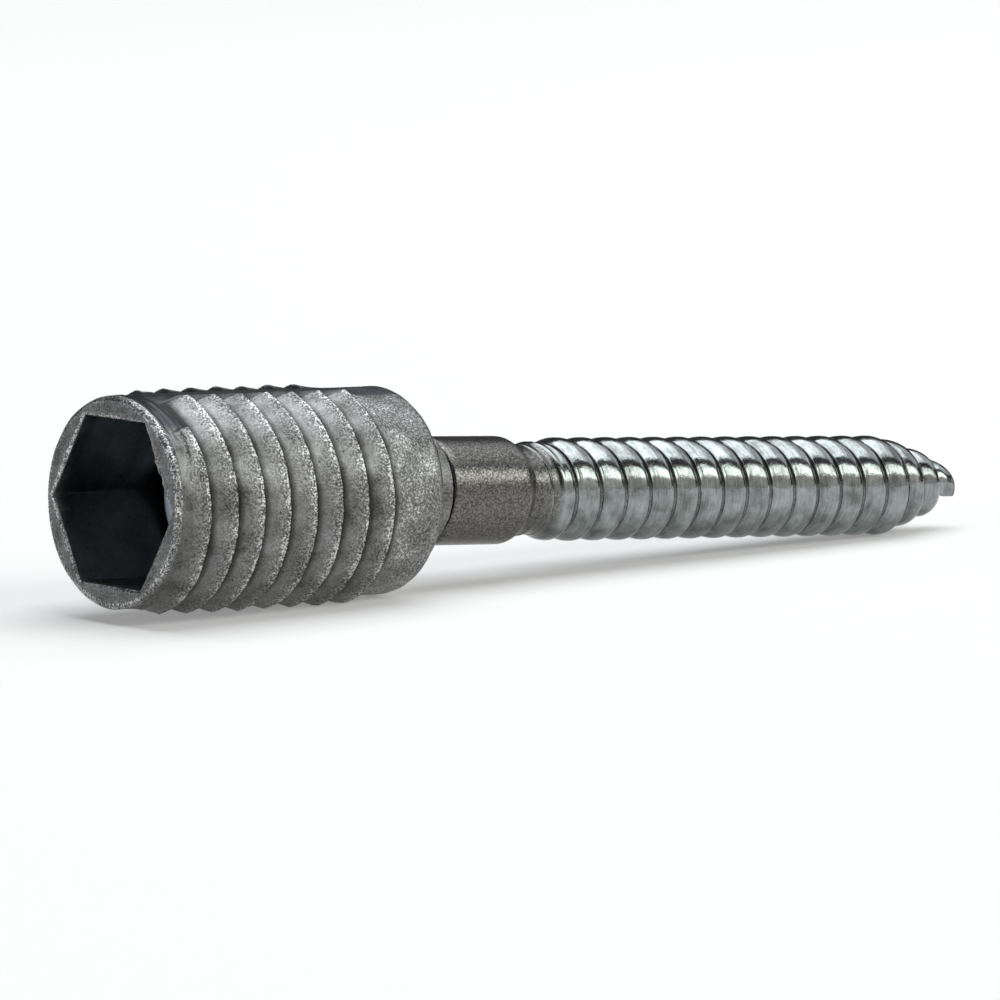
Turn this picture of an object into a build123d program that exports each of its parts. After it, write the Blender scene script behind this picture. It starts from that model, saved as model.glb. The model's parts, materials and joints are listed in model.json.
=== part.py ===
from build123d import *
from math import atan2, cos, degrees, pi, radians, sin
import os

# Frame screw: a long steel wood screw held captive in a die-cast zinc sleeve.
# The screw goes into the wall. The sleeve cuts its own thread in the frame and
# turns on the screw's neck, which moves the frame in or out.
# Sizes are in millimetres. The two pieces lie as they come to rest on a table:
# the sleeve's open mouth towards -X, the point towards +X.
# Turns are in degrees about an axis, from the top and over the front (-Y).

# ---- sleeve ----
key_size = 10.0             # across the flats of the hexagon socket
socket_depth = 10.3         # mouth to the seat under the screw's head
socket_turn = 30.0          # first corner of the hexagon
mouth_bevel = 0.2           # on the socket's rim
corner_wall = 0.68          # thinnest wall, at the hexagon's corners
body_length = 21.1          # mouth to the closed end
end_bevel = 0.35
rim_bevel = 0.25
boss_length = 2.9           # collar cast round the bore, behind the closed end
boss_wall = 0.64
ridge_depth = 0.55          # makes the thread that cuts a 14 mm hole
sleeve_pitch = 2.04
ridge_gap = 0.12            # bare body between two turns
ridge_ramp = 1.72           # slow side of a ridge, along the axis
ridge_foot = 0.08           # step where a side leaves the body
first_crest = 3.65          # mouth to the first whole ridge's crest, at the top
front_ridges = 7            # whole ridges on the front half
back_ridges = 7
front_bare = 21.0           # where the front ridges stop, from the parting line
back_bare = 25.0            # where the back ridges stop
first_ridge_turn = 45.0     # where the run-in ridge begins

# ---- screw ----
head_clearance = 0.4        # head to the flats of the socket
head_thickness = 2.5
head_bevel = 0.3
recess_size = 5.0           # across the flats of the drive recess
recess_depth = 1.7
seat_clearance = 0.2        # head to its seat
neck_radius = 2.85
neck_clearance = 0.24       # radial, the bore is cast loose
end_play = 0.7              # boss to the collar
collar_step = 0.56          # collar over the neck
collar_length = 6.0
collar_edge = 0.2
shoulder_length = 0.9
shoulder_break = 0.12       # how much the shoulder has fallen half way
core_radius = 2.85          # bottom of the wood thread's grooves
thread_depth = 0.45
screw_pitch = 2.126
groove_gap = 0.08
turn_sections = 14          # sections of the ridge to a turn
crest_flat = 0.6            # blunt top of the ridge
thread_offset = 4.14        # shoulder's end to the first full crest
run_in_drop = 0.27          # how much lower the first crest starts
run_in_turns = 1.25
thread_turns = 13.5         # at full height
thread_turn = 30.0          # where the full height begins
point_turns = 2.75          # ridge on the point
point_crest_radius = 1.45   # ridge at its end, by the tip
point_core_radius = 0.9
tip_length = 1.66           # bare tip beyond the ridge
tip_radius = 0.22

root = 0.25                 # how far a ridge is sunk in its body
lean_share = 0.75           # of the play the sleeve has on the neck

# ---- sizes that follow ----
socket_radius = key_size / 2
body_radius = socket_radius / cos(radians(30)) + corner_wall
ridge_radius = body_radius + ridge_depth
bore_radius = neck_radius + neck_clearance
boss_radius = bore_radius + boss_wall
sleeve_length = body_length + boss_length
head_radius = socket_radius - head_clearance
collar_radius = neck_radius + collar_step
crest_radius = core_radius + thread_depth
neck_length = sleeve_length - socket_depth

collar_start = head_thickness + seat_clearance + neck_length + end_play
shoulder_start = collar_start + collar_length
shoulder_end = shoulder_start + shoulder_length
thread_start = shoulder_end + thread_offset
run_in_start = thread_start - screw_pitch * run_in_turns
thread_end = thread_start + screw_pitch * thread_turns
point_end = thread_end + screw_pitch * point_turns
screw_length = point_end + tip_length
point_start = thread_end + screw_pitch

# The sleeve leans on the neck, mouth down, about the middle of its bore. The
# pair then rests on the edge of the closed end and on the last full crest.
head_to_pivot = head_thickness + seat_clearance + neck_length / 2
mouth_to_pivot = socket_depth + neck_length / 2
lean = lean_share * degrees(atan2(2 * neck_clearance, neck_length))
edge_along = body_length - end_bevel - mouth_to_pivot
heel_along = edge_along * cos(radians(lean)) + body_radius * sin(radians(lean))
heel_down = body_radius * cos(radians(lean)) - edge_along * sin(radians(lean))
toe_along = thread_end - head_to_pivot
rest_tilt = degrees(atan2(heel_down - crest_radius, toe_along - heel_along))


def dipped_axis(dip, before):
    """Plane across an axis through the pivot that dips towards +X; its x is up."""
    down = radians(dip)
    pivot = Plane((0, 0, 0), x_dir=(sin(down), 0, cos(down)), z_dir=(cos(down), 0, -sin(down)))
    return pivot.offset(-before)


def across(axis, distance=0, turn=0):
    """Plane across an axis, this far along it and turned about it."""
    return Plane(axis.offset(distance).location * Rotation(0, 0, turn))


def along(axis, distance=0, turn=0):
    """Plane that holds an axis: x runs along it, y points outwards."""
    cut = across(axis, distance, turn)
    return Plane(cut.origin, x_dir=cut.z_dir, z_dir=cut.y_dir)


def winding(axis, distance, turn, pitch, turns, radius, flare=0):
    """Right-hand helix about an axis; flare is its cone's half angle."""
    start = across(axis, distance)
    coil = Helix(pitch, pitch * turns, radius, center=start.origin, direction=start.z_dir,
                 cone_angle=flare, mode=Mode.PRIVATE)
    return coil.rotate(Axis(start.origin, start.z_dir), turn)


sleeve_axis = dipped_axis(rest_tilt - lean, mouth_to_pivot)
screw_axis = dipped_axis(rest_tilt, head_to_pivot)


# ---- sleeve: body ----

with BuildPart() as sleeve:
    with BuildSketch(along(sleeve_axis)):
        with BuildLine():
            Polyline((0, bore_radius), (0, body_radius - rim_bevel), (rim_bevel, body_radius),
                     (body_length - end_bevel, body_radius),
                     (body_length, body_radius - end_bevel), (body_length, boss_radius),
                     (sleeve_length, boss_radius), (sleeve_length, bore_radius), close=True)
        make_face()
    revolve(axis=Axis(sleeve_axis.origin, sleeve_axis.z_dir))


# ---- sleeve: thread ----

# The two halves come from the two halves of the die, so their ridges are
# mirror images in section, and stop short of the parting lines.
ridge_width = sleeve_pitch - ridge_gap
ridge_base = body_radius + ridge_foot
ridge_lead = degrees(atan2(sleeve_pitch, 2 * pi * body_radius))


def half_ridge(number, crest_at, begin, end):
    """One ridge on one half of the sleeve, counted along from the mouth."""
    half = ridge_width / 2
    rise = crest_at - half
    turn = (begin + end) / 2
    crest = first_crest + sleeve_pitch * (number + turn / 360)
    ring = Plane(along(sleeve_axis, crest - rise, turn).location * Rotation(0, ridge_lead, 0))
    with BuildPart(mode=Mode.PRIVATE) as ridge:
        with BuildSketch(Plane(ring.location * Rotation(begin - turn, 0, 0))):
            with BuildLine():
                Polyline((-half, ridge_base), (rise, ridge_radius), (half, ridge_base),
                         (half, body_radius - root), (-half, body_radius - root), close=True)
            make_face()
        revolve(axis=Axis(ring.origin, ring.x_dir), revolution_arc=end - begin)
    return ridge.part


front_start = front_bare
front_stop = 180 - front_bare
back_start = 180 + back_bare
back_stop = 360 - back_bare

ridges = [half_ridge(-1, ridge_ramp, first_ridge_turn, front_stop)]
for number in range(front_ridges):
    ridges.append(half_ridge(number, ridge_ramp, front_start, front_stop))
for number in range(back_ridges):
    ridges.append(half_ridge(number - 1, ridge_width - ridge_ramp, back_start, back_stop))

with sleeve:
    add(ridges)


# ---- sleeve: hexagon socket ----

with sleeve:
    with BuildSketch(across(sleeve_axis)):
        RegularPolygon(socket_radius, 6, major_radius=False, rotation=socket_turn)
    extrude(amount=socket_depth, mode=Mode.SUBTRACT)
    with BuildSketch(across(sleeve_axis)):
        RegularPolygon(socket_radius + mouth_bevel, 6, major_radius=False, rotation=socket_turn)
    extrude(amount=mouth_bevel, taper=45, mode=Mode.SUBTRACT)


# ---- screw: head, neck, collar, core and tip ----

with BuildPart() as screw:
    with BuildSketch(along(screw_axis)):
        with BuildLine():
            Polyline((0, 0), (0, head_radius - head_bevel), (head_bevel, head_radius),
                     (head_thickness, head_radius), (head_thickness, neck_radius),
                     (collar_start, neck_radius), (collar_start, collar_radius - collar_edge),
                     (collar_start + collar_edge, collar_radius), (shoulder_start, collar_radius),
                     (shoulder_start + shoulder_length / 2, collar_radius - shoulder_break),
                     (shoulder_end, core_radius), (point_start, core_radius),
                     (point_end, point_core_radius), (screw_length, tip_radius),
                     (screw_length, 0), close=True)
        make_face()
    revolve(axis=Axis(screw_axis.origin, screw_axis.z_dir))


# ---- screw: drive recess in the head ----

with screw:
    with BuildSketch(across(screw_axis)):
        RegularPolygon(recess_size / 2, 6, major_radius=False, rotation=socket_turn)
    extrude(amount=recess_depth, mode=Mode.SUBTRACT)


# ---- screw: wood thread ----

# One blunt ridge rises behind the shoulder, keeps its full height, then winds
# down the point. It is built through sections, a fixed number to a turn.
thread_width = screw_pitch - groove_gap
reach = thread_depth + root
ridge_turns = run_in_turns + thread_turns + point_turns
point_fall = crest_radius - point_crest_radius


def ridge_section(wound):
    """The ridge's section after this many turns; it reaches below the core."""
    rising = crest_radius - run_in_drop * (1 - wound / run_in_turns)
    falling = crest_radius - point_fall * (wound - run_in_turns - thread_turns) / point_turns
    crest = min(rising, crest_radius, falling)
    place = along(screw_axis, run_in_start + screw_pitch * wound,
                  thread_turn + 360 * (wound - run_in_turns))
    with BuildSketch(place) as section:
        with BuildLine():
            Polyline((-thread_width / 2, crest - reach), (-crest_flat / 2, crest),
                     (crest_flat / 2, crest), (thread_width / 2, crest - reach), close=True)
        make_face()
    return section.sketch


with BuildPart() as wood_thread:
    loft([ridge_section(number / turn_sections)
          for number in range(round(ridge_turns * turn_sections) + 1)], ruled=True)

with screw:
    add(wood_thread.part)


# ---- put the pair down on the table, over the origin ----

box = Compound([sleeve.part, screw.part]).bounding_box()
table = Location((-box.center().X, 0, -box.min.Z))
sleeve.part.move(table)
screw.part.move(table)

sleeve.part.label = "sleeve"
screw.part.label = "screw"
os.makedirs("parts", exist_ok=True)
export_step(sleeve.part, "parts/sleeve.step")
export_step(screw.part, "parts/screw.step")
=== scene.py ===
import bpy
import bmesh
import json
import math
import numpy as np
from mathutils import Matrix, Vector


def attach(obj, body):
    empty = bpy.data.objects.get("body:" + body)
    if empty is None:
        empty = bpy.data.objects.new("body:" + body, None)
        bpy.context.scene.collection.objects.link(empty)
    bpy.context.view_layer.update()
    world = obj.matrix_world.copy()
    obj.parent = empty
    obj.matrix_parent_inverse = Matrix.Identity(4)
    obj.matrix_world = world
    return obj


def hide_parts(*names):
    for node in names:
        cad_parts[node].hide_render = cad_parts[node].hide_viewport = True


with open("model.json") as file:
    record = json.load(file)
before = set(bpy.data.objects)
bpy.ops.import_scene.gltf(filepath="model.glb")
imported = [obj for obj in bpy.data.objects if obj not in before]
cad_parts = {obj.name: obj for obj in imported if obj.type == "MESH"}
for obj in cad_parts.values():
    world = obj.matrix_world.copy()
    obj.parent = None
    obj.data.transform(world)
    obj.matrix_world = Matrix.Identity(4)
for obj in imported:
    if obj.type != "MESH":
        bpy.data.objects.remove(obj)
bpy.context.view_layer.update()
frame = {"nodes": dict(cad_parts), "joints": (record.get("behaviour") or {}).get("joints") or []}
joint = frame["joints"][0]
pivot = np.array(joint["pos_m"]) * 1000
print("frame loaded:", ", ".join(sorted(frame["nodes"])))

# Lengths below are in millimetres along a piece's own axis, unless a note says metres.
# Turns are in degrees about that axis, from the top and over the front (-Y).

stage = {
    "floorColour": "#cccbca",
    "worldColour": "#ffffff",
    "worldStrength": 0.06,
    "floorGlow": 0.25,          # added to what the camera and the metal see of the floor
    "floorHalf": 8,             # metres
    # lamps: place and the way the back faces, width and height in metres, brightness, colour
    "overheadStrip": ((0.45, 0.2, 2.0), (0, 0, 1), 2.1, 2.3, 3.3, "#f9fcff"),
    "farStrip": ((3.75, 0.2, 2.0), (0, 0, 1), 4.5, 2.3, 1.1, "#f7fbff"),
    "sideStrip": ((1.9, -2.0, 1.5), (0, -1, 0), 4.4, 1.1, 4.0, "#fafff9"),
    "lowFill": ((1.6, -2.1, 0.75), (0, -1, 0), 5.0, 1.4, 0.7, "#fffdf6"),
    "mouthSoftbox": ((-2.4, 0.15, 0.42), (-1, 0, 0.1), 1.6, 0.8, 4.5, "#eef5ff"),
}

cameraAt = {
    "place": (-0.27428, -0.30384, 0.05459),   # metres
    "azimuth": -41.579,
    "elevation": 6.962,
    "lens": 234.0,
    "sensor": 36,
    "clipStart": 0.01,
}

sleeveSize = {
    "mouthToPivot": 17.15,
    "socketDepth": 10.3,
    "socketFlat": 5.0,          # half of the 10 mm across flats
    "socketTurn": 30.0,
    "mouthBevel": 0.2,
    "rimRound": 0.3,
    "bodyRadius": 6.45,
    "bodyLength": 21.1,
    "endRound": 0.6,
    "bossRadius": 3.71,
    "bossRound": 0.15,
    "length": 24.0,
    "boreRadius": 3.1,
    "pitch": 2.04,
    "firstCrest": 3.65,
    "ridgeDepth": 0.52,
    "ridgeFall": 0.2,           # steep side, along the axis
    "ridgeRamp": 1.72,          # slow side
    "frontRidges": (-1, 6),
    "backRidges": (-1, 5),
    # turns between which the ridges rise from one strip, and sink to the other
    "frontStrip": (17.5, 19.5, 166.0, 172.0),
    "backStrip": (200.0, 207.0, 338.0, 353.0),
    "runInTurn": 41.0,
    "runInSlope": 2.4,          # degrees later for each mm before the crest
    "runInBlend": 4,            # degrees
    "land": 6.53,               # how high above the axis the top strip lies
    "landEnd": 18.5,            # the turn where the strip's flat ends
    "landAlong": (1.9, 3.2),    # the flat rises behind the mouth
    "landFade": 1.6,            # and is gone this far behind the last crest
    "landBlend": (2, 10),       # degrees
    "wobble": 0.045,            # uneven casting
    "creep": 0.03,              # the same along the axis
    "floorClear": 0.01,
    "burrReach": 0.34,
    "burrTurns": (40, 55, 84, 98),
    "streakDepth": 0.09,
    "streakAlong": (1.8, 3.4),
    # painted shade where shadows fall: in front of a crest, at a ridge's foot, over the ridges and
    # on the bare patch at the mouth
    "shadeFront": 0.06,
    "shadeFoot": (0.5, 0.78),
    "ridgeShade": 0.9,
    "patchShade": 0.5,
    "patchPitches": (-1.0, -0.85),
    "patchTurns": (34, 48),
    "seamHalf": 15,             # degrees each side of the top where the rows slope back
}

screwSize = {
    "headToPivot": 9.55,
    "dip": 4.01745,
    "headRadius": 4.6,
    "headThickness": 2.5,
    "headRound": 0.2,
    "headDish": 0.62,           # how deep the head's face is dished
    "recessFlat": 2.5,
    "recessDepth": 1.7,
    "recessTurn": 30.0,
    "neckRadius": 2.85,
    "collarStart": 16.8,
    "collarRadius": 3.41,
    "collarEdge": 0.34,
    "shoulderStart": 22.95,
    "shoulderEnd": 24.0,
    "coreRadius": 2.83,
    "pitch": 2.126,
    "firstCrest": 27.96,        # a crest at the top
    "crestLine": ((24.5, 2.88), (25.3, 3.0), (26.5, 3.15), (27.8, 3.3), (56.8, 3.3),
                  (58.15, 2.92), (60.6, 2.24), (62.35, 1.5), (62.7, 1.4)),
    "runInEnd": 26.9,
    "lipHeight": 0.07,
    "coreEnd": 56.8,
    "ridgeEnd": 62.7,
    "lipAt": 0.43,              # pitches before the crest
    "lipWidth": 0.022,          # in pitches
    "runInLength": 1.2,
    "runInWidth": 0.1,          # half width of the ridge as it starts, in pitches
    "runInBright": 0.07,        # half width of its bright top, in pitches
    "grooveFrom": (0.4, 0.49),  # pitches from the crest
    # the grooves' dark satin is painted shade
    "grooveShade": 0.75,
    "runInDull": 0.9,
    "ridgeShape": 2.3,          # how square the rolled ridge is
    "ridgeLean": 0.14,          # how far its peak leans to the point, in pitches
    "pitchesDrawn": 17,
    "pointCore": 0.8,           # core under the last turn
    "length": 64.34,
    "tipRadius": 0.12,
}


def toLinear(hexColour):
    # each sRGB channel c becomes c/12.92 below 0.04045, else ((c+0.055)/1.055)^2.4
    channels = [int(hexColour[i:i + 2], 16) / 255 for i in (1, 3, 5)]
    linear = [c / 12.92 if c <= 0.04045 else ((c + 0.055) / 1.055) ** 2.4 for c in channels]
    return tuple(linear) + (1.0,)


def smoothStep(low, high, x):
    # 0 below low, 1 above high, and a cubic s between
    s = np.clip((x - low) / (high - low), 0, 1)
    return s * s * (3 - 2 * s)


def lumps(points, size, seed):
    # smooth noise in -1..1: random values on a cubic lattice of this size, blended between corners
    side = 32
    values = np.random.default_rng(seed).uniform(-1, 1, (side, side, side))
    cell = points / size
    low = np.floor(cell).astype(int)
    part = cell - low
    part = part * part * (3 - 2 * part)
    total = np.zeros(points.shape[:-1])
    for corner in np.ndindex(2, 2, 2):
        weight = np.ones(points.shape[:-1])
        for axis in range(3):
            weight = weight * (part[..., axis] if corner[axis] else 1 - part[..., axis])
        index = tuple((low[..., axis] + corner[axis]) % side for axis in range(3))
        total += weight * values[index]
    return total


def placed(dip, distance, turn, radius):
    # a point: the pivot, plus distance along the dipped axis, plus radius at this turn about it
    down = math.radians(dip)
    along = np.array([math.cos(down), 0, -math.sin(down)])
    up = np.array([math.sin(down), 0, math.cos(down)])
    front = np.array([0, -1.0, 0])
    angle = np.radians(turn)
    return (pivot + distance[..., None] * along
            + (radius * np.cos(angle))[..., None] * up
            + (radius * np.sin(angle))[..., None] * front)


def gridFaces(rows, columns, start=0, wrap=True):
    # four-sided faces between neighbouring rows; wrap joins the last column to the first
    last = columns if wrap else columns - 1
    i = np.arange(rows - 1)[:, None] * columns
    j = np.arange(last)[None, :]
    k = (j + 1) % columns
    return (np.stack([i + j, i + columns + j, i + columns + k, i + k], -1) + start).reshape(-1, 4)


def meshPiece(name, points, faces, marks, material, body, node):
    # points in millimetres; doubles at seams and poles, 2 micrometres apart or less, are merged
    mesh = bpy.data.meshes.new(name)
    mesh.from_pydata((points / 1000).tolist(), [], faces.tolist())
    for mark, values in marks.items():
        layer = mesh.attributes.new(mark, "FLOAT", "POINT")
        layer.data.foreach_set("value", values.astype(np.float32))
    shell = bmesh.new()
    shell.from_mesh(mesh)
    bmesh.ops.remove_doubles(shell, verts=shell.verts, dist=2e-6)
    bmesh.ops.recalc_face_normals(shell, faces=shell.faces)
    openEdges = sum(1 for edge in shell.edges if not edge.is_manifold)
    volume = shell.calc_volume(signed=True) * 1e9
    shell.to_mesh(mesh)
    shell.free()
    mesh.polygons.foreach_set("use_smooth", np.ones(len(mesh.polygons), bool))
    mesh.materials.append(material)
    piece = bpy.data.objects.new(name, mesh)
    bpy.context.scene.collection.objects.link(piece)
    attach(piece, body)
    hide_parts(node)
    print(f"{name}: {len(mesh.polygons)} faces, {openEdges} open edges, {volume:.0f} cubic mm")


def newMaterial(name):
    material = bpy.data.materials.new(name)
    material.use_nodes = True
    material.node_tree.nodes.clear()
    return material, material.node_tree


def addNode(tree, kind, settings=None, links=None):
    # settings go to the node's sockets or properties; links are socket: (node, output)
    made = tree.nodes.new(kind)
    for key, value in (settings or {}).items():
        if isinstance(key, int) or key in made.inputs:
            made.inputs[key].default_value = value
        else:
            setattr(made, key, value)
    for key, (source, output) in (links or {}).items():
        tree.links.new(source.outputs[output], made.inputs[key])
    return made


def addLamp(name, place, back, width, height, brightness, colour):
    light = bpy.data.lights.new(name, "AREA")
    light.shape = "RECTANGLE"
    light.size = width
    light.size_y = height
    light.energy = brightness * math.pi * width * height    # watts for this brightness
    light.color = toLinear(colour)[:3]
    lamp = bpy.data.objects.new(name, light)
    lamp.location = place
    lamp.rotation_euler = Vector(back).to_track_quat("Z", "Y").to_euler()
    bpy.context.scene.collection.objects.link(lamp)


camera = bpy.data.objects.new("camera", bpy.data.cameras.new("camera"))
camera.location = cameraAt["place"]
camera.rotation_euler = (math.radians(90 - cameraAt["elevation"]), 0,
                         math.radians(cameraAt["azimuth"]))
camera.data.lens = cameraAt["lens"]
camera.data.sensor_width = cameraAt["sensor"]
camera.data.clip_start = cameraAt["clipStart"]
bpy.context.scene.collection.objects.link(camera)
bpy.context.scene.camera = camera
bpy.context.scene.view_settings.view_transform = "Standard"

for lampName in ("overheadStrip", "farStrip", "sideStrip", "lowFill", "mouthSoftbox"):
    addLamp(lampName, *stage[lampName])

world = bpy.data.worlds.new("studio")
world.use_nodes = True
background = world.node_tree.nodes["Background"]
background.inputs["Color"].default_value = toLinear(stage["worldColour"])
background.inputs["Strength"].default_value = stage["worldStrength"]
bpy.context.scene.world = world

# matt painted table: a pale grey that glows for the camera and the metal, so that it shows white
floorPaint, floorTree = newMaterial("mattPaintedTable")
ray = addNode(floorTree, "ShaderNodeLightPath")
seen = addNode(floorTree, "ShaderNodeMath", {"operation": "MAXIMUM"},
               {0: (ray, "Is Camera Ray"), 1: (ray, "Is Glossy Ray")})
glow = addNode(floorTree, "ShaderNodeMath", {"operation": "MULTIPLY", 1: stage["floorGlow"]},
               {0: (seen, "Value")})
paint = addNode(floorTree, "ShaderNodeBsdfPrincipled",
                {"Base Color": toLinear(stage["floorColour"]), "Roughness": 0.9,
                 "Emission Color": (1.0, 1.0, 1.0, 1.0)}, {"Emission Strength": (glow, "Value")})
addNode(floorTree, "ShaderNodeOutputMaterial", links={"Surface": (paint, "BSDF")})
floorMesh = bpy.data.meshes.new("floor")
half = stage["floorHalf"]
floorMesh.from_pydata([(-half, -half, 0), (half, -half, 0), (half, half, 0), (-half, half, 0)],
                      [], [(0, 1, 2, 3)])
floorMesh.materials.append(floorPaint)
floor = bpy.data.objects.new("floor", floorMesh)
bpy.context.scene.collection.objects.link(floor)
print("camera, lamps and floor set")


def dieCastZinc():
    # zinc alloy as it leaves the die: a grey skin with a sandy grain that sparkles, rubbed bright
    # on the crests, with near-black painted shade at the feet of the ridges and a smooth dark strip
    # where the die parts
    material, tree = newMaterial("dieCastZinc")
    where = addNode(tree, "ShaderNodeTexCoord")
    relief = addNode(tree, "ShaderNodeAttribute", {"attribute_name": "relief"})
    polish = addNode(tree, "ShaderNodeAttribute", {"attribute_name": "polish"})
    paintedShade = addNode(tree, "ShaderNodeAttribute", {"attribute_name": "paintedShade"})
    # sand grains of about 0.12 mm, blotches of about 2 mm, pits about 0.7 mm apart
    grain = addNode(tree, "ShaderNodeTexNoise", {"Scale": 8000.0, "Detail": 2.0, "Roughness": 0.6},
                    {"Vector": (where, "Object")})
    blotch = addNode(tree, "ShaderNodeTexNoise", {"Scale": 520.0, "Detail": 6.0, "Roughness": 0.62},
                     {"Vector": (where, "Object")})
    pits = addNode(tree, "ShaderNodeTexVoronoi", {"Scale": 1400.0}, {"Vector": (where, "Object")})
    tone = addNode(tree, "ShaderNodeValToRGB", None, {"Fac": (blotch, "Fac")})
    tone.color_ramp.elements[0].position = 0.32
    tone.color_ramp.elements[0].color = toLinear("#424140")
    tone.color_ramp.elements[1].position = 0.7
    tone.color_ramp.elements[1].color = toLinear("#868686")
    # the sand: dark and light grains, mixed over the blotches
    sand = addNode(tree, "ShaderNodeValToRGB", None, {"Fac": (grain, "Fac")})
    sand.color_ramp.elements[0].position = 0.42
    sand.color_ramp.elements[0].color = toLinear("#3b3a39")
    sand.color_ramp.elements[1].position = 0.6
    sand.color_ramp.elements[1].color = toLinear("#cbcbc9")
    sandy = addNode(tree, "ShaderNodeMapRange",
                    {"From Min": 0.3, "From Max": 0.9, "To Min": 0.08, "To Max": 0.45},
                    {"Value": (relief, "Fac")})
    skin = addNode(tree, "ShaderNodeMix", {"data_type": "RGBA"},
                   {0: (sandy, "Result"), 6: (tone, "Color"), 7: (sand, "Color")})
    smooth = addNode(tree, "ShaderNodeMix", {"data_type": "RGBA", 7: toLinear("#4b4d51")},
                     {0: (polish, "Fac"), 6: (skin, 2)})
    patchy = addNode(tree, "ShaderNodeMapRange",
                     {"From Min": 0.35, "From Max": 0.65, "To Min": 0.75, "To Max": 1.2},
                     {"Value": (blotch, "Fac")})
    shown = addNode(tree, "ShaderNodeMath", {"operation": "MULTIPLY"},
                    {0: (relief, "Fac"), 1: (patchy, "Result")})
    worn = addNode(tree, "ShaderNodeMath", {"operation": "MULTIPLY"},
                   {0: (shown, "Value"), 1: (grain, "Fac")})
    wornMask = addNode(tree, "ShaderNodeMapRange", {"From Min": 0.44, "From Max": 0.6},
                       {"Value": (worn, "Value")})
    rubbed = addNode(tree, "ShaderNodeMix", {"data_type": "RGBA", 7: toLinear("#d6d6d4")},
                     {0: (wornMask, "Result"), 6: (smooth, 2)})
    # painted shade: near-black laid over the skin at the ridges' steep sides and feet and on the
    # patch by the mouth
    shadePaint = addNode(tree, "ShaderNodeMix", {"data_type": "RGBA", 7: toLinear("#161412")},
                    {0: (paintedShade, "Fac"), 6: (rubbed, 2)})
    speck = addNode(tree, "ShaderNodeMapRange", {"From Min": 0.04, "From Max": 0.14},
                    {"Value": (pits, "Distance")})
    pitted = addNode(tree, "ShaderNodeMix", {"data_type": "RGBA", 6: toLinear("#33312f")},
                     {0: (speck, "Result"), 7: (shadePaint, 2)})
    rough = addNode(tree, "ShaderNodeMapRange", {"To Min": 0.44, "To Max": 0.3},
                    {"Value": (grain, "Fac")})
    strength = addNode(tree, "ShaderNodeMapRange",
                       {"From Min": 0.2, "From Max": 0.8, "To Min": 0.25, "To Max": 0.9},
                       {"Value": (relief, "Fac")})
    bump = addNode(tree, "ShaderNodeBump", {"Distance": 0.00008},
                   {"Height": (grain, "Fac"), "Strength": (strength, "Result")})
    shader = addNode(tree, "ShaderNodeBsdfPrincipled", {"Metallic": 1.0},
                     {"Base Color": (pitted, 2), "Roughness": (rough, "Result"),
                      "Normal": (bump, "Normal")})
    addNode(tree, "ShaderNodeOutputMaterial", links={"Surface": (shader, "BSDF")})
    return material


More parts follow.
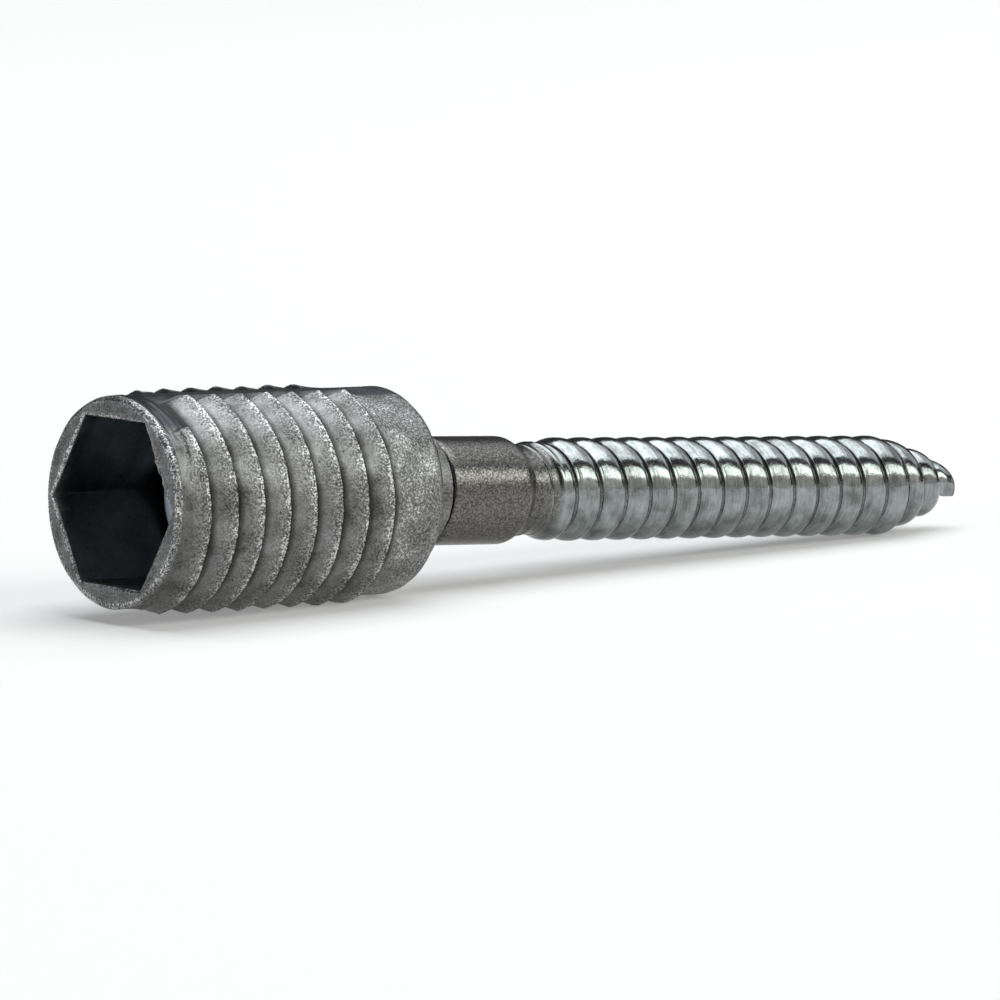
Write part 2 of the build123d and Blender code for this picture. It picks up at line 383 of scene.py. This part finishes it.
def zincPlatedSteel():
    # rolled steel with a thin zinc plating: mirror-like and cool on the thread, which the rolling
    # dies burnished round and round, and a duller brownish satin on the collar; the grooves get the
    # same dark satin as painted shade
    material, tree = newMaterial("zincPlatedSteel")
    where = addNode(tree, "ShaderNodeTexCoord")
    satinAndShade = addNode(tree, "ShaderNodeAttribute", {"attribute_name": "satinAndShade"})
    frostAndHighlight = addNode(tree, "ShaderNodeAttribute", {"attribute_name": "frostAndHighlight"})
    # clouds of about 1.5 mm in the plating, scuffs of about 0.15 mm, and streaks 0.1 mm wide and
    # 1 mm long
    cloud = addNode(tree, "ShaderNodeTexNoise", {"Scale": 700.0, "Detail": 5.0, "Roughness": 0.6},
                    {"Vector": (where, "Object")})
    scuff = addNode(tree, "ShaderNodeTexNoise", {"Scale": 7000.0, "Detail": 3.0, "Roughness": 0.6},
                    {"Vector": (where, "Object")})
    stretch = addNode(tree, "ShaderNodeMapping", {"Scale": (10.0, 1.0, 1.0)},
                      {"Vector": (where, "Object")})
    streak = addNode(tree, "ShaderNodeTexNoise", {"Scale": 900.0, "Detail": 3.0, "Roughness": 0.55},
                     {"Vector": (stretch, "Vector")})
    mottle = addNode(tree, "ShaderNodeMix", {"data_type": "FLOAT", 0: 0.3},
                     {2: (cloud, "Fac"), 3: (streak, "Fac")})
    bright = addNode(tree, "ShaderNodeValToRGB", None, {"Fac": (mottle, 0)})
    bright.color_ramp.elements[0].position = 0.38
    bright.color_ramp.elements[0].color = toLinear("#656967")
    bright.color_ramp.elements[1].position = 0.62
    bright.color_ramp.elements[1].color = toLinear("#9ba1a1")
    satin = addNode(tree, "ShaderNodeValToRGB", None, {"Fac": (scuff, "Fac")})
    satin.color_ramp.elements[0].position = 0.38
    satin.color_ramp.elements[0].color = toLinear("#454341")
    satin.color_ramp.elements[1].position = 0.64
    satin.color_ramp.elements[1].color = toLinear("#7b7976")
    # the satin is the collar's own finish, and in the grooves painted shade
    colour = addNode(tree, "ShaderNodeMix", {"data_type": "RGBA"},
                     {0: (satinAndShade, "Fac"), 6: (bright, "Color"), 7: (satin, "Color")})
    # the head's face is much rougher, a frost that is a guess, and its paler colour is a painted
    # highlight
    pale = addNode(tree, "ShaderNodeMix", {"data_type": "RGBA", 7: toLinear("#ccd6de")},
                   {0: (frostAndHighlight, "Fac"), 6: (colour, 2)})
    gloss = addNode(tree, "ShaderNodeMapRange", {"To Min": 0.15, "To Max": 0.27},
                    {"Value": (satinAndShade, "Fac")})
    grit = addNode(tree, "ShaderNodeMath", {"operation": "MULTIPLY_ADD", 1: 0.4},
                   {0: (frostAndHighlight, "Fac"), 2: (gloss, "Result")})
    strength = addNode(tree, "ShaderNodeMapRange", {"To Min": 0.08, "To Max": 0.28},
                       {"Value": (satinAndShade, "Fac")})
    bump = addNode(tree, "ShaderNodeBump", {"Distance": 0.00005},
                   {"Height": (scuff, "Fac"), "Strength": (strength, "Result")})
    wave = addNode(tree, "ShaderNodeBump", {"Distance": 0.0003, "Strength": 0.16},
                   {"Height": (mottle, 0), "Normal": (bump, "Normal")})
    shader = addNode(tree, "ShaderNodeBsdfPrincipled", {"Metallic": 1.0},
                     {"Base Color": (pale, 2), "Roughness": (grit, "Value"),
                      "Normal": (wave, "Normal")})
    addNode(tree, "ShaderNodeOutputMaterial", links={"Surface": (shader, "BSDF")})
    return material


zinc = dieCastZinc()
steel = zincPlatedSteel()
print("materials made")


def hexRadius(turn, flat, firstCorner):
    # distance from the centre to a hexagon of this half width, at an angle a from a side's middle:
    # flat / cos(a)
    return flat / np.cos(np.radians((turn - firstCorner) % 60 - 30))


def ridgeHeight(distance, turn, size):
    # 0 on the bare body to 1 on a crest, then how much painted shade it takes, and how far it is
    # from a strip.
    # Along the axis a ridge climbs its slow side evenly and drops its steep side. The front half's
    # steep sides face the point, the back half's face the mouth
    pitch, fall, ramp = size["pitch"], size["ridgeFall"], size["ridgeRamp"]
    count = (distance - size["firstCrest"]) / pitch - turn / 360
    number = np.ceil(count - fall / pitch)
    x = (count - number) * pitch
    front = np.where(x <= 0, np.clip(1 + x / ramp, 0, 1), np.clip(1 - x / fall, 0, 1))
    low, high = size["frontRidges"]
    front = front * ((number >= low) & (number <= high))
    startAt = size["runInTurn"] - size["runInSlope"] * x
    startBlend = smoothStep(startAt, startAt + size["runInBlend"], turn)
    front = np.where(number < -0.5, front * startBlend, front)
    # painted shadow: dark on each front crest's steep side and over the foot of the next ramp,
    # where the crest's shadow falls
    paintedShade = smoothStep(0.0, size["shadeFront"], x) * ((number >= low) & (number <= high))
    whole = np.floor(count)
    rest = (count - whole) * pitch
    foot = (1 - smoothStep(*size["shadeFoot"], rest)) * (whole >= low) * (whole <= high)
    paintedShade = np.maximum(paintedShade, foot)
    backNumber = np.floor(count + fall / pitch)
    x = (count - backNumber) * pitch
    back = np.where(x <= 0, np.clip(1 + x / fall, 0, 1), np.clip(1 - x / ramp, 0, 1))
    low, high = size["backRidges"]
    back = back * ((backNumber >= low) & (backNumber <= high))
    a, b, c, d = size["frontStrip"]
    onFront = smoothStep(a, b, turn) * (1 - smoothStep(c, d, turn))
    a, b, c, d = size["backStrip"]
    onBack = smoothStep(a, b, turn) * (1 - smoothStep(c, d, turn))
    rough = np.where(turn < 180, onFront, onBack)
    # a bare patch at the mouth, before the first ridge has begun
    bare = 1 - smoothStep(*size["patchPitches"], count)
    bare = bare * (1 - smoothStep(*size["patchTurns"], turn + 3 * (count + 1)))
    # the bare patch at the top by the mouth is painted darker as well: painted shade
    paintedShade = np.maximum(paintedShade * onFront * size["ridgeShade"], size["patchShade"] * bare)
    return np.where(turn < 180, front * onFront, back * onBack), paintedShade, rough * (1 - bare)


def makeSleeve(size):
    # one closed grid: each row is a line round the sleeve, from the seat out through the mouth,
    # along the outside and back in through the bore. Along the ridges the rows follow the thread
    turns = set(np.arange(0, 360, 1.0).tolist())
    for a in size["frontStrip"] + size["backStrip"]:
        turns.update(a + step for step in (-1.2, -0.6, 0.0, 0.6, 1.2))
    turns.update(size["socketTurn"] + 60 * k + step for k in range(6) for step in (-0.5, 0.0, 0.5))
    turn = np.array(sorted(turns))
    pitch, body, rim = size["pitch"], size["bodyRadius"], size["rimRound"]
    straightEnd = size["bodyLength"] - size["endRound"]
    one = np.ones_like(turn)
    flat = hexRadius(turn, size["socketFlat"], size["socketTurn"])
    bevel = hexRadius(turn, size["socketFlat"] + size["mouthBevel"], size["socketTurn"])
    rows = []      # distance, radius, relief, polish, painted shade

    def row(distance, radius, relief=0.0, polish=0.0, paintedShade=0.0):
        rows.append([value * one for value in (distance, radius, relief, polish, paintedShade)])

    for share in np.linspace(0, 1, 6):
        row(size["socketDepth"], size["boreRadius"] * (1 - share) + flat * share, polish=0.5)
    for share in np.linspace(1, 0, 9)[1:]:
        row(size["mouthBevel"] + (size["socketDepth"] - size["mouthBevel"]) * share, flat,
            polish=0.6)
    # a burr leans into the socket along one edge, with a ragged end
    ragged = 0.65 + 0.35 * np.sin(turn * 0.21) * np.sin(turn * 0.53)
    a, b, c, d = size["burrTurns"]
    burr = size["burrReach"] * smoothStep(a, b, turn) * (1 - smoothStep(c, d, turn)) * ragged
    for share in (0.5, 1.0):
        row(size["mouthBevel"] * (1 - share), flat - burr + (bevel - flat) * share, 0.95)
    ring = body - rim
    for share in np.linspace(0, 1, 9)[1:]:
        row(0, bevel + (ring - bevel) * share, 0.95 - 2.2 * share * (1 - share))
    for angle in np.radians(np.linspace(0, 90, 6)[1:]):
        row(rim * (1 - math.cos(angle)), ring + rim * math.sin(angle), 0.9)
    # outside: lines at fixed steps from each crest's edge, sheared along the thread
    steps = np.array([-0.3, -0.2, -0.13, -0.06, 0.0, 0.05, 0.1, 0.15, 0.2, 0.27, 0.42, 0.62, 0.84,
                      1.06, 1.28, 1.5, 1.64])
    low, high = size["frontRidges"]
    lines = [size["firstCrest"] + pitch * k + steps for k in range(low, high + 1)]
    before = np.linspace(rim, size["firstCrest"] - pitch - 0.35, 13)[1:]
    after = np.linspace(lines[-1][-1] + 0.2, straightEnd, 18)
    lines = np.concatenate([before] + lines + [after])
    lines = lines[lines > rim + 0.02]
    # across the top the slope runs back, so that each row meets its own start
    half = size["seamHalf"]
    start, back = pitch * half / 360, pitch * (360 - 2 * half) / 360
    shear = np.where(turn > 360 - half, start + back * (360 + half - turn) / (2 * half),
                     pitch * turn / 360)
    shear = np.where(turn < half, start + back * (half - turn) / (2 * half), shear)
    lastCrest = size["firstCrest"] + pitch * high
    for line in lines:
        hold = smoothStep(rim, 1.5, line)
        hold = hold * (1 - smoothStep(lastCrest + 0.3, straightEnd - 0.2, line))
        along = line + shear * hold
        height, paintedShade, ridged = ridgeHeight(along, turn, size)
        # the ramps are smooth, the crests and the bare end are sandy
        beyond = smoothStep(0.5, 1.0, along - lastCrest - pitch * turn / 360)
        relief = np.maximum(0.15 + 0.85 * height ** 1.5, 0.74 * beyond)
        # the top strip's flat, on the front's side of the top
        landed = smoothStep(*size["landAlong"], along)
        landed = landed * (1 - smoothStep(lastCrest, lastCrest + size["landFade"], along))
        landed = landed * smoothStep(*size["landBlend"], turn)
        flatAt = np.where(turn < size["landEnd"], size["land"] / np.cos(np.radians(turn)), body)
        strip = body + (flatAt - body) * landed
        row(along, np.maximum(strip, body + size["ridgeDepth"] * height), relief, 1 - ridged, paintedShade)
    for angle in np.radians(np.linspace(0, 90, 10)[1:]):
        row(straightEnd + size["endRound"] * math.sin(angle),
            body - size["endRound"] * (1 - math.cos(angle)), 0.5)
    top = body - size["endRound"]
    boss, edge = size["bossRadius"], size["bossRound"]
    for share in np.linspace(0, 1, 6)[1:]:
        row(size["bodyLength"], top + (boss - top) * share, 0.3)
    for share in np.linspace(0, 1, 5)[1:]:
        row(size["bodyLength"] + (size["length"] - edge - size["bodyLength"]) * share, boss, 0.5)
    for angle in np.radians(np.linspace(0, 90, 6)[1:]):
        row(size["length"] - edge * (1 - math.sin(angle)),
            boss - edge * (1 - math.cos(angle)), 0.85)
    row(size["length"], size["boreRadius"])
    for share in np.linspace(0, 1, 4)[1:]:
        row(size["length"] + (size["socketDepth"] - size["length"]) * share, size["boreRadius"])
    distance, radius, relief, polish, paintedShade = (
        np.array([values[i] for values in rows]) for i in range(5))
    angle = np.radians(turn)[None, :]
    local = np.stack([distance, radius * np.cos(angle), radius * np.sin(angle)], -1)
    # uneven casting, on the outside only
    outside = (radius > 3.5) & (radius > flat[None, :] + 0.05) & (distance < size["length"] - 0.2)
    uneven = 0.6 * lumps(local, 1.7, 3) + 0.4 * lumps(local, 0.6, 4)
    # fine streaks run round the mouth's end
    streaks = lumps(local * np.array([4.5, 0.4, 0.4]), 1.0, 7)
    nearMouth = 1 - smoothStep(*size["streakAlong"], distance - pitch * turn[None, :] / 360)
    radius = radius + outside * (size["wobble"] * (uneven - 0.25)
                                 + size["streakDepth"] * nearMouth * (streaks - 0.55))
    distance = distance + outside * size["creep"] * lumps(local, 0.5, 5) * (distance > rim)
    axisDip = math.degrees(math.atan2(-joint["axis"][2], joint["axis"][0]))
    points = placed(axisDip, distance - size["mouthToPivot"], turn[None, :] + 0 * distance, radius)
    # the front ridges run on over the lower strip and would pass through the floor, so they are
    # cut flat just above it in the rest pose. The cut is no wear, and it turns with the sleeve
    points[..., 2] = np.maximum(points[..., 2], size["floorClear"])
    marks = {"relief": relief.reshape(-1), "polish": polish.reshape(-1), "paintedShade": paintedShade.reshape(-1)}
    meshPiece("castSleeve", points.reshape(-1, 3), gridFaces(len(rows), len(turn)), marks,
              zinc, "sleeve", "sleeve")


def makeScrew(size):
    # rows of points round the screw; the thread's rows follow its slope, so each ends where another
    # begins, and fans of rows close the thread's two ends
    turn = np.arange(0, 360, 3.0)
    turnWide = np.arange(0, 361, 3.0)
    pitch = size["pitch"]
    crestLine = np.array(size["crestLine"])

    def bare(s):
        # radius of the screw without its thread; the shoulder falls as a squared curve
        fall = size["shoulderEnd"] - size["shoulderStart"]
        rise = np.clip((s - size["shoulderStart"]) / fall, 0, 1)
        drop = size["collarRadius"] - size["coreRadius"]
        shoulder = size["collarRadius"] - drop * rise * rise * (1.7 - 0.7 * rise)
        tipFrom = size["length"] - size["tipRadius"]
        point = np.interp(s, [size["coreEnd"], size["ridgeEnd"], tipFrom],
                          [size["coreRadius"], size["pointCore"], size["tipRadius"]])
        return np.where(s < size["shoulderEnd"], shoulder, point)

    def threaded(s, at):
        # the ridge is a flat-topped arc across each pitch, as high as the crest line allows
        count = (s - size["firstCrest"]) / pitch - at / 360
        x = count - np.round(count)
        crestAt = s - x * pitch
        crest = np.interp(s, crestLine[:, 0], crestLine[:, 1])
        crest = np.where(crestAt > size["ridgeEnd"], 0, crest)
        base = bare(s)
        early = 1 - smoothStep(size["runInEnd"] - size["runInLength"], size["runInEnd"], s)
        lean = size["ridgeLean"]
        across = np.where(x < lean, (lean - x) / (0.5 + lean), (x - lean) / (0.5 - lean))
        arc = ((1 - across ** size["ridgeShape"]) * (1 - early)
               + np.exp(-(x / size["runInWidth"]) ** 2) * early)
        # where the metal of two ridges met in rolling, a fine lip stands beside the groove
        lip = np.exp(-((x + size["lipAt"]) / size["lipWidth"]) ** 2) * (crest > base)
        groove = smoothStep(*size["grooveFrom"], np.abs(x)) * (crest > base) * (1 - lip)
        beside = 1 - np.exp(-(x / size["runInBright"]) ** 2)
        # the grooves take the dark satin as painted shade; the run-in keeps the shank's satin, all
        # but the ridge's bright top
        satinAndShade = np.maximum(size["grooveShade"] * groove,
                          size["runInDull"] * early * (1 - lip) * beside)
        return base + np.maximum(crest - base, 0) * arc + size["lipHeight"] * lip, satinAndShade

    one = np.ones_like(turn)
    recess = hexRadius(turn, size["recessFlat"], size["recessTurn"])
    rows = [(size["recessDepth"] * one, share * recess, 0 * one) for share in (0.0, 0.5, 1.0)]
    dish = size["headDish"]
    for share in (0.33, 0.66, 1.0):
        rows.append((size["recessDepth"] + (dish - size["recessDepth"]) * share * one, recess,
                     0 * one))
    face = size["headRadius"] - size["headRound"]
    rows += [(dish * (1 - share) * one, recess + (face - recess) * share, 0 * one)
             for share in (0.3, 0.6, 1.0)]
    for angle in np.radians(np.linspace(0, 90, 8)[1:]):
        rows.append((size["headRound"] * (1 - math.cos(angle)) * one,
                     (face + size["headRound"] * math.sin(angle)) * one, 0 * one))
    neckEnd, edge = size["collarStart"], size["collarEdge"]
    plain = [(size["headThickness"], size["headRadius"]),
             (size["headThickness"], size["neckRadius"])]
    plain += [(s, size["neckRadius"]) for s in np.linspace(size["headThickness"], neckEnd, 12)[1:]]
    plain += [(neckEnd, size["collarRadius"] - edge)]
    for angle in np.radians([30, 60, 90]):
        plain.append((neckEnd + edge * (1 - math.cos(angle)),
                      size["collarRadius"] - edge * (1 - math.sin(angle))))
    plain += [(s, size["collarRadius"])
              for s in np.linspace(neckEnd + edge, size["shoulderStart"], 16)[1:]]
    rows += [(s * one, r * one, one) for s, r in plain]
    start = size["firstCrest"] - 1.5 * pitch
    for s in np.linspace(size["shoulderStart"], start, 12)[1:-1]:
        rows.append((s * one, float(bare(s)) * one, one))
    distance, radius, satinAndShade = (np.array([row[i] for row in rows]) for i in range(3))

    # across one pitch, from groove to groove, with lines gathered at the grooves
    share = np.concatenate([[0, 0.015, 0.035, 0.05, 0.062, 0.075, 0.09, 0.11],
                            np.linspace(0.15, 0.9, 15), [0.94, 0.97, 0.988]])
    pitches = size["pitchesDrawn"]
    lines = (start + pitch * (np.arange(pitches)[:, None] + share[None, :])).reshape(-1)
    lines = np.append(lines, start + pitch * pitches)
    main = lines[:, None] + pitch * turnWide[None, :] / 360
    full = np.append(share, 1.0)
    openFan = start + full[:, None] * pitch * turnWide[None, :] / 360
    last = start + pitch * pitches
    wound = turnWide[None, :] / 360
    closeFan = last + pitch * (wound + full[:, None] * (1 - wound))
    tipStart = last + pitch
    tip = [(s, float(bare(s)))
           for s in np.linspace(tipStart, size["length"] - size["tipRadius"], 6)]
    for angle in np.radians(np.linspace(0, 90, 6)[1:]):
        tip.append((size["length"] - size["tipRadius"] * (1 - math.sin(angle)),
                    size["tipRadius"] * math.cos(angle)))

    pointSets, faceSets, satinShadeSets, frostHighlightSets = [], [], [], []
    pointCount = 0

    def keep(s, at, r, satinShade, wrap):
        # adds one patch; only the head's face, in the front half of the head, takes the frost and
        # the painted highlight
        nonlocal pointCount
        spot = placed(size["dip"], s - size["headToPivot"], at + 0 * s, r)
        pointSets.append(spot.reshape(-1, 3))
        satinShadeSets.append((satinShade + 0 * s).reshape(-1))
        frostHighlightSets.append((1.0 * (s < size["headThickness"] * 0.5)).reshape(-1))
        faceSets.append(gridFaces(s.shape[0], s.shape[1], pointCount, wrap))
        pointCount += s.size

    keep(distance, turn[None, :], radius, satinAndShade, True)
    for patch in (openFan, main, closeFan):
        r, satinAndShade = threaded(patch, turnWide[None, :] + 0 * patch)
        keep(patch, turnWide[None, :], r, satinAndShade, False)
    ends = np.array([[s for s, r in tip]] * len(turn)).T
    endRadius = np.array([[r for s, r in tip]] * len(turn)).T
    endRadius[0] = threaded(ends[:1], turn[None, :])[0][0]
    keep(ends, turn[None, :], endRadius, 0.4 + 0 * ends, True)
    # the last plain row meets the thread's first line
    joinRows = np.array([distance[-1], start * one])
    joinRadius = np.array([radius[-1], threaded(start * one, turn)[0]])
    keep(joinRows, turn[None, :], joinRadius, 1 + 0 * joinRows, True)
    marks = {"satinAndShade": np.concatenate(satinShadeSets), "frostAndHighlight": np.concatenate(frostHighlightSets)}
    meshPiece("woodScrew", np.concatenate(pointSets), np.concatenate(faceSets), marks,
              steel, "screw", "screw")


makeSleeve(sleeveSize)
makeScrew(screwSize)
